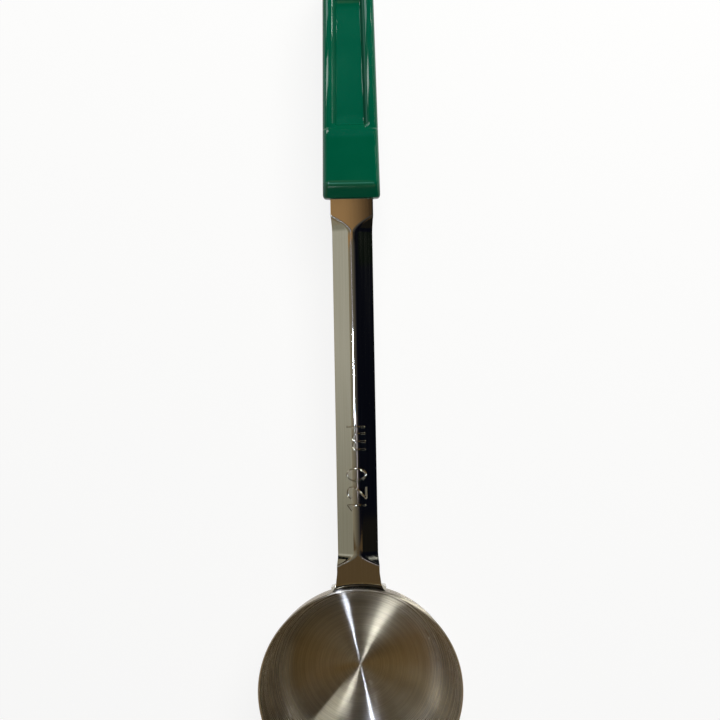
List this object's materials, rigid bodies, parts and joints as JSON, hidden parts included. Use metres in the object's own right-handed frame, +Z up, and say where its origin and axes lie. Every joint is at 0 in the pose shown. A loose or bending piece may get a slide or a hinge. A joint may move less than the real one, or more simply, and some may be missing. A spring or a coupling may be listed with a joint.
{
  "type": "portion spoon",
  "caption": "Deep round steel portion spoon with a level rim, a ridged strip handle welded to the bowl and a hooked moulded plastic grip.",
  "frame": {"origin": "centre of the bowl's flat base, on the surface that the spoon lies on", "axes": "+Z up out of the bowl, +Y along the handle from the bowl to the grip, +X to the right seen from above with the grip at the top"},
  "size_m": [0.084, 0.3472, 0.0345],
  "materials": {
    "brushed_stainless": "brushed in circles",
    "polished_stainless": "polished",
    "green_plastic": "moulded gloss"
  },
  "bodies": {
    "root": {"bowl": "brushed_stainless", "handle_strip": "polished_stainless", "grip": "green_plastic", "weld_upper_left": "polished_stainless", "weld_upper_right": "polished_stainless", "weld_lower_left": "polished_stainless", "weld_lower_right": "polished_stainless"}
  },
  "joints": []
}
